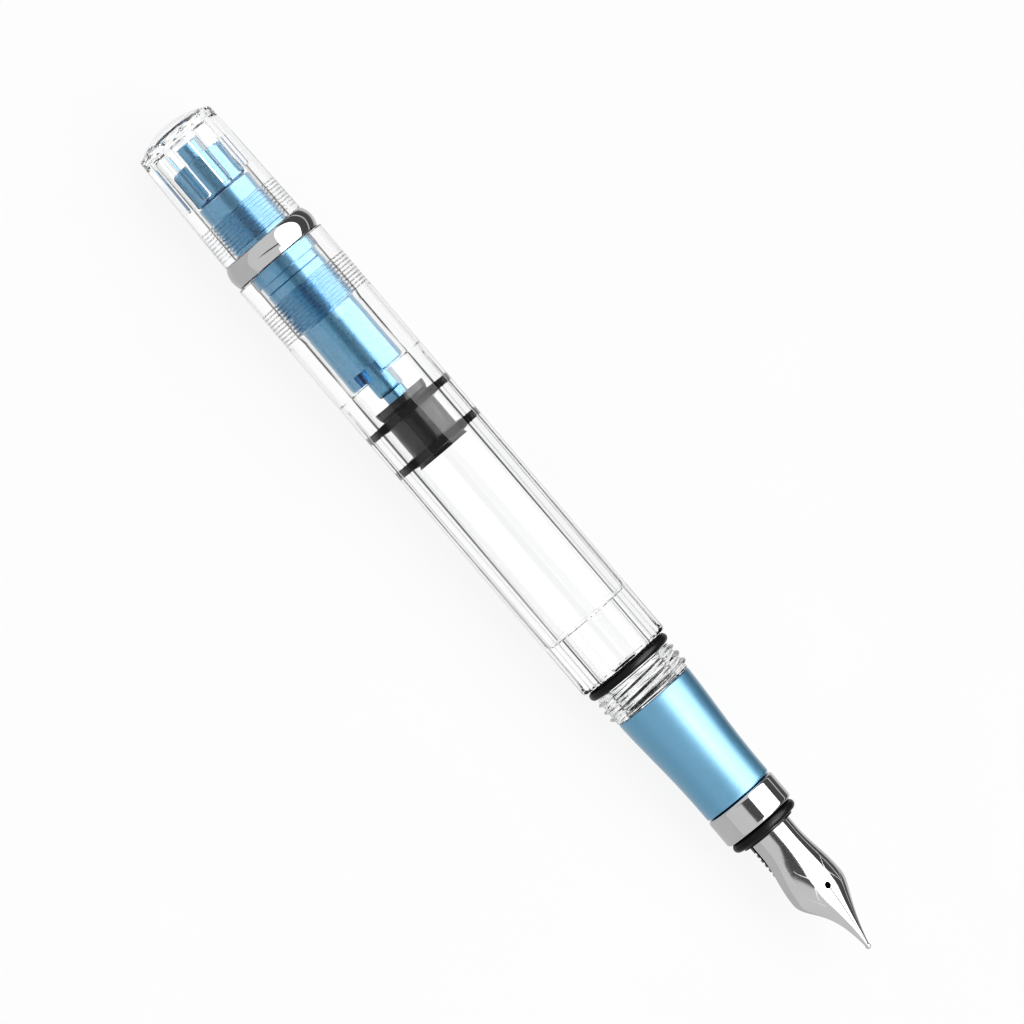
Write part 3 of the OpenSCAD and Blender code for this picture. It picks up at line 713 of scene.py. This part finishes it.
def build_nib():
    segments = 72
    stops = [-1, -0.5] + [i / 40 for i in range(41)] + [1 + i / 90 for i in range(1, 91)]
    loops = []
    for t in stops:
        thick = min(NIB_T, NIB_T * (0.5 + nib_ring(t)[1]))
        outer = [nib_point(t, 2 * j / segments - 1) for j in range(segments + 1)]
        inner = [nib_point(t, 1 - 2 * j / segments, thick) for j in range(segments + 1)]
        loops.append(outer + inner)
    bm = bmesh.new()
    verts = [[bm.verts.new(p) for p in row] for row in loops]
    n = len(verts[0])
    for a, b in zip(verts, verts[1:]):
        for j in range(n):
            k = (j + 1) % n
            bm.faces.new((a[j], a[k], b[k], b[j]))
    for row in (verts[0], verts[-1]):
        for j in range(segments):
            bm.faces.new((row[j], row[j + 1], row[n - 2 - j], row[n - 1 - j]))
    bmesh.ops.recalc_face_normals(bm, faces=bm.faces)
    mesh = bpy.data.meshes.new("nib_blade")
    bm.to_mesh(mesh)
    bm.free()
    nib = link(mesh, "nib_blade")
    # Breather hole and slit
    bm = bmesh.new()
    bmesh.ops.create_cone(bm, cap_ends=True, segments=48, radius1=HOLE_R * MM,
                          radius2=HOLE_R * MM, depth=8 * MM)
    mesh = bpy.data.meshes.new("hole")
    bm.to_mesh(mesh)
    bm.free()
    cutter = link(mesh, "hole")
    cutter.location = (tail_x + (z_mouth + HOLE) * MM, 0, axis_z + 4 * MM)
    boolean(nib, cutter, "DIFFERENCE")
    bm = bmesh.new()
    bmesh.ops.create_cube(bm, size=1.0)
    mesh = bpy.data.meshes.new("slit")
    bm.to_mesh(mesh)
    bm.free()
    cutter = link(mesh, "slit")
    cutter.scale = (SLIT_L * MM, SLIT_W * MM, 8 * MM)
    cutter.location = (tail_x + (z_mouth + HOLE + SLIT_L / 2) * MM, 0, axis_z + 3 * MM)
    boolean(nib, cutter, "DIFFERENCE")
    smooth(nib.data, 35)
    return nib


finish_piece(build_nib(), STEEL, "pen", "nib")


TIP_R = 0.37


def nib_tip():
    """The small ball at the point of the nib."""
    bm = bmesh.new()
    bmesh.ops.create_uvsphere(bm, u_segments=32, v_segments=16, radius=TIP_R * MM)
    mesh = bpy.data.meshes.new("nib_tip")
    bm.to_mesh(mesh)
    bm.free()
    mesh.shade_smooth()
    mesh.transform(Matrix.Translation((tail_x + (z_tip - 0.38) * MM, 0, axis_z + 0.42 * MM)))
    return link(mesh, "nib_tip")


finish_piece(nib_tip(), STEEL, "pen", None)



LINE_W, LINE_H, LINE_ROOT = 0.013, 0.006, 0.04  # half width across, height over the nib, depth


def nib_line(name, points):
    """A fine line on the nib through (t, across) points, pointed at both ends."""
    rows = []
    for i, (t, across) in enumerate(points):
        w = LINE_W * math.sin(math.pi * i / (len(points) - 1)) ** 0.4
        rows.append([nib_point(t, across - w, -LINE_H), nib_point(t, across + w, -LINE_H),
                     nib_point(t, across + w, LINE_ROOT), nib_point(t, across - w, LINE_ROOT)])
    return grid_piece(name, rows)


def border_point(i):
    """A point of the line along the nib's edge."""
    t = 0.15 + 1.3 * i / 80
    return t, 0.62 - 0.12 * smoothstep(0.9, 1.45, t)


def wave_point(i):
    """A point of the wave between the border and the hole."""
    return 0.5 + 0.75 * i / 60, 0.34 + 0.1 * math.cos(TAU * i / 60)


# Plain border and wave lines, without any mark or lettering
for k, sign in enumerate((-1, 1)):
    for kind, point, count in (("border", border_point, 81), ("wave", wave_point, 61)):
        points = [(t, sign * across) for t, across in map(point, range(count))]
        line = nib_line(f"nib_{kind}_{k}", points)
        finish_piece(line, ETCHED, "pen", None)

# ---------------------------------------------------------------- CAD nodes that stay

for node, mat in {
    "cap_seal_o_ring": RUBBER,
    "nose_o_ring": RUBBER,
    "nib_unit_o_ring": RUBBER,
    "nib_housing": BLACK,
    "feed": BLACK,
    "piston_guide": BLUE,
    "drive_sleeve": BLUE,
    "spline_hub": BLUE,
    "piston_rod": BLUE,
    "thrust_washer": WHITE,
    "retaining_ring": SPRING,
}.items():
    dress(node, mat)

# ---------------------------------------------------------------- camera

# The camera leans toward -Y and tilts toward the tail, in radians; distance in metres
CAMERA_LEAN, CAMERA_TILT = math.radians(26), math.radians(1.4)
CAMERA_DISTANCE, CAMERA_LENS = 0.968, 280.3
AIM_STATION, AIM_ACROSS = 62.86, 1.45
PEN_RIGHT, PEN_DOWN = 0.6485, 0.7612  # the pen's direction in the picture

scene = bpy.context.scene
lean_y, lean_z = math.sin(CAMERA_LEAN), math.cos(CAMERA_LEAN)
across_dir = Vector((0, lean_z, lean_y))
facing = Vector((0, -lean_y, lean_z))
to_camera = (facing * math.cos(CAMERA_TILT)
             - Vector((1, 0, 0)) * math.sin(CAMERA_TILT)).normalized()
along_dir = (Vector((1, 0, 0)) - to_camera * to_camera.x).normalized()
image_right = (along_dir * PEN_RIGHT + across_dir * PEN_DOWN).normalized()
image_up = to_camera.cross(image_right).normalized()

aim = Vector((tail_x + AIM_STATION * MM, 0, axis_z)) + across_dir * AIM_ACROSS * MM
camera_data = bpy.data.cameras.new("camera")
camera_data.sensor_width = 36
camera_data.lens = CAMERA_LENS
camera_data.clip_start = 0.01
camera_data.clip_end = 20
camera = bpy.data.objects.new("camera", camera_data)
scene.collection.objects.link(camera)
camera.location = aim + to_camera * CAMERA_DISTANCE
basis = Matrix((image_right, image_up, to_camera)).transposed()
camera.rotation_euler = basis.to_euler()
scene.camera = camera

# ---------------------------------------------------------------- floor

# Glow of the floor as the camera sees it, and a painted shade in the glow that metal sees near the
# pen and on the far side
FLOOR_SEEN, FLOOR_NEAR_PAINTED_SHADE, FLOOR_FAR_PAINTED_SHADE = 0.9, 0.68, 0.12
FLOOR_PAINTED_SHADE_EDGE = (0.02, 0.032)  # metres toward +Y


def pale_floor():
    """Pale paper that glows a little, as a lit studio table does, with a painted shade in the glow
    that metal sees.
    """
    mat, nodes, links, shader, coords = new_material("pale_floor")
    shader.inputs["Roughness"].default_value = 0.9
    shader.inputs["Specular IOR Level"].default_value = 0.0
    shader.inputs["Emission Color"].default_value = (1, 1, 1, 1)
    paper = noise_node(nodes, links, coords, 30, 2)
    tinted(nodes, links, paper.outputs["Fac"], shader.inputs["Base Color"],
           (0.04, 0.04, 0.04), (0.044, 0.044, 0.044))
    # Painted shade: the glow that polished metal sees is lowered beside the pen, and much lower on
    # the far side
    split = nodes.new("ShaderNodeSeparateXYZ")
    links.new(coords.outputs["Object"], split.inputs["Vector"])
    shade = nodes.new("ShaderNodeMapRange")
    shade.interpolation_type = "SMOOTHSTEP"
    for socket, value in zip(("From Min", "From Max", "To Min", "To Max"),
                             # Painted shade levels and where they change, by the table's Y
                             (*FLOOR_PAINTED_SHADE_EDGE, FLOOR_NEAR_PAINTED_SHADE, FLOOR_FAR_PAINTED_SHADE)):
        shade.inputs[socket].default_value = value
    links.new(split.outputs["Y"], shade.inputs["Value"])
    rays = nodes.new("ShaderNodeLightPath")
    glow = nodes.new("ShaderNodeMix")
    glow.data_type = "FLOAT"
    glow.inputs["B"].default_value = FLOOR_SEEN
    links.new(rays.outputs["Is Camera Ray"], glow.inputs["Factor"])
    links.new(shade.outputs["Result"], glow.inputs["A"])
    links.new(glow.outputs["Result"], shader.inputs["Emission Strength"])
    # The clear plastic bends light from the backdrop of the studio instead
    opening = nodes.new("ShaderNodeBsdfTransparent")
    mix = nodes.new("ShaderNodeMixShader")
    links.new(rays.outputs["Is Transmission Ray"], mix.inputs["Fac"])
    links.new(shader.outputs["BSDF"], mix.inputs[1])
    links.new(opening.outputs["BSDF"], mix.inputs[2])
    links.new(mix.outputs["Shader"], nodes["Material Output"].inputs["Surface"])
    return mat


bm = bmesh.new()
bmesh.ops.create_grid(bm, x_segments=1, y_segments=1, size=1.6)
floor_mesh = bpy.data.meshes.new("floor")
bm.to_mesh(floor_mesh)
bm.free()
floor_mesh.materials.append(pale_floor())
floor = link(floor_mesh, "floor")

# ---------------------------------------------------------------- studio light

world = bpy.data.worlds.new("studio")
scene.world = world
world.use_nodes = True
nodes, links = world.node_tree.nodes, world.node_tree.links
view = nodes.new("ShaderNodeTexCoord").outputs["Generated"]
rays = nodes.new("ShaderNodeLightPath")


def calc(operation, *values):
    """A maths node on sockets or numbers."""
    node = nodes.new("ShaderNodeMath")
    node.operation = operation
    for socket, value in zip(node.inputs, values):
        if isinstance(value, (int, float)):
            socket.default_value = value
        else:
            links.new(value, socket)
    return node.outputs[0]


def along(direction):
    """How far the view points along a direction."""
    node = nodes.new("ShaderNodeVectorMath")
    node.operation = "DOT_PRODUCT"
    links.new(view, node.inputs[0])
    node.inputs[1].default_value = direction
    return node.outputs["Value"]


def rise(value, start, end):
    """0 below start, 1 above end."""
    node = nodes.new("ShaderNodeMapRange")
    node.interpolation_type = "SMOOTHSTEP"
    node.inputs["From Min"].default_value = start
    node.inputs["From Max"].default_value = end
    links.new(value, node.inputs["Value"])
    return node.outputs["Result"]


def fall(value, start, end):
    """1 below start, 0 above end."""
    return calc("SUBTRACT", 1.0, rise(value, start, end))


def window(value, start, end, soft):
    """1 between start and end."""
    up = rise(value, start - soft, start + soft)
    return calc("SUBTRACT", up, rise(value, end - soft, end + soft))


def both(*masks):
    """1 where all the masks are."""
    out = masks[0]
    for mask in masks[1:]:
        out = calc("MULTIPLY", out, mask)
    return out


def toned(level, mask, target):
    """level, moved to target where the mask is 1."""
    return calc("MULTIPLY_ADD", calc("SUBTRACT", target, level), mask, level)


# Brightness of the studio as metal and rubber see it
WALL, DARK, LAMP = 0.92, 0.2, 3.4
# ... as the pieces inside the clear plastic see it
INNER_WALL, INNER_BAR, INNER_LAMP, INNER_FLOOR = 0.85, 0.36, 3.1, 0.8
# ... and as the clear plastic and the camera see it
BACKDROP, SIDES, PLAIN = 1.0, 0.12, 0.95
# The lamp leans toward +Y; its half angles are along and across the pen
LAMP_LEAN = math.radians(26.5)
LAMP_HALF_X, LAMP_HALF_Y = math.radians(52), math.radians(32.5)

lamp_dir = (0, math.sin(LAMP_LEAN), math.cos(LAMP_LEAN))
lamp_across = (0, math.cos(LAMP_LEAN), -math.sin(LAMP_LEAN))
to_x, to_y, to_z = along((1, 0, 0)), along((0, 1, 0)), along((0, 0, 1))
to_face, to_far = along(tuple(facing)), along(tuple(across_dir))
# The view as the camera's picture plane has it
depth = calc("MAXIMUM", to_face, 0.05)
up_frame, along_frame = calc("DIVIDE", to_far, depth), calc("DIVIDE", to_x, depth)
ahead = rise(to_face, 0.05, 0.15)

# Pale walls, dark on the far side
level = toned(WALL, both(rise(to_y, 0.25, 0.45), rise(to_z, 0.03, 0.1)), DARK)
# A dark slanted stand between the lamp and the pale side, toward the nib
slant = calc("MULTIPLY_ADD", along_frame, -5.0, up_frame)
stand = both(window(slant, -0.5, 0.05, 0.03), rise(along_frame, -0.07, -0.05), ahead)
level = toned(level, stand, DARK)
# An oval lamp over the pen
wide = calc("MULTIPLY", to_x, 1 / math.sin(LAMP_HALF_X))
deep = calc("MULTIPLY", along(lamp_across), 1 / math.sin(LAMP_HALF_Y))
spread = calc("ADD", calc("MULTIPLY", wide, wide), calc("MULTIPLY", deep, deep))
lamp = both(fall(spread, 0.94, 1.06), rise(along(lamp_dir), 0.1, 0.2))
level = toned(level, lamp, LAMP)
# Pieces inside the clear plastic see a long lamp, with a dim bar beside it
swing = calc("ARCTAN2", to_far, to_face)
inner = toned(INNER_WALL, window(swing, -0.35, 0.3, 0.12), INNER_BAR)
inner = toned(inner, window(swing, 0.42, 1.75, 0.07), INNER_LAMP)
inner = toned(inner, fall(to_z, -0.05, 0.05), INNER_FLOOR)
# The clear plastic itself has a white backdrop behind it, and dark sides
sides = window(along(tuple(-to_camera)), -0.2, 0.55, 0.05)
clear_level = toned(BACKDROP, sides, SIDES)
reflected = both(calc("GREATER_THAN", rays.outputs["Glossy Depth"], 0.5),
                 calc("GREATER_THAN", rays.outputs["Transmission Depth"], 3.5))
clear_level = toned(clear_level, reflected, inner)
level = toned(level, rays.outputs["Is Transmission Ray"], clear_level)
# Seen directly, the studio is plain
level = toned(level, rays.outputs["Is Camera Ray"], PLAIN)
background = nodes["Background"]
background.inputs["Color"].default_value = (1, 1, 1, 1)
links.new(level, background.inputs["Strength"])

# A white card just beyond the nib
CARD_SIZE, CARD_LEVEL = (0.16, 0.3), 2.2
CARD_AT, CARD_FACES = Vector((0.2, 0.02, 0.25)), Vector((0.05, 0, 0.006))
card_data = bpy.data.lights.new("white_card", "AREA")
card_data.shape = "RECTANGLE"
card_data.size, card_data.size_y = CARD_SIZE
card_data.energy = math.pi * CARD_SIZE[0] * CARD_SIZE[1] * CARD_LEVEL
card = bpy.data.objects.new("white_card", card_data)
scene.collection.objects.link(card)
card.location = CARD_AT
card.rotation_euler = (CARD_AT - CARD_FACES).normalized().to_track_quat("Z", "Y").to_euler()
card.visible_camera = False

# ---------------------------------------------------------------- view and bounces

# A little more contrast in the dark tones
DARK_TONES = ((0.05, 0.014), (0.1, 0.045), (0.2, 0.15), (0.35, 0.32), (0.6, 0.6))

settings = scene.view_settings
settings.view_transform = "Standard"
settings.look = "None"
settings.use_curve_mapping = True
combined = settings.curve_mapping.curves[3]
for x, y in DARK_TONES:
    combined.points.new(x, y)
settings.curve_mapping.update()

scene.cycles.max_bounces = 32
scene.cycles.transmission_bounces = 28
scene.cycles.glossy_bounces = 10
scene.cycles.diffuse_bounces = 4
scene.cycles.transparent_max_bounces = 16
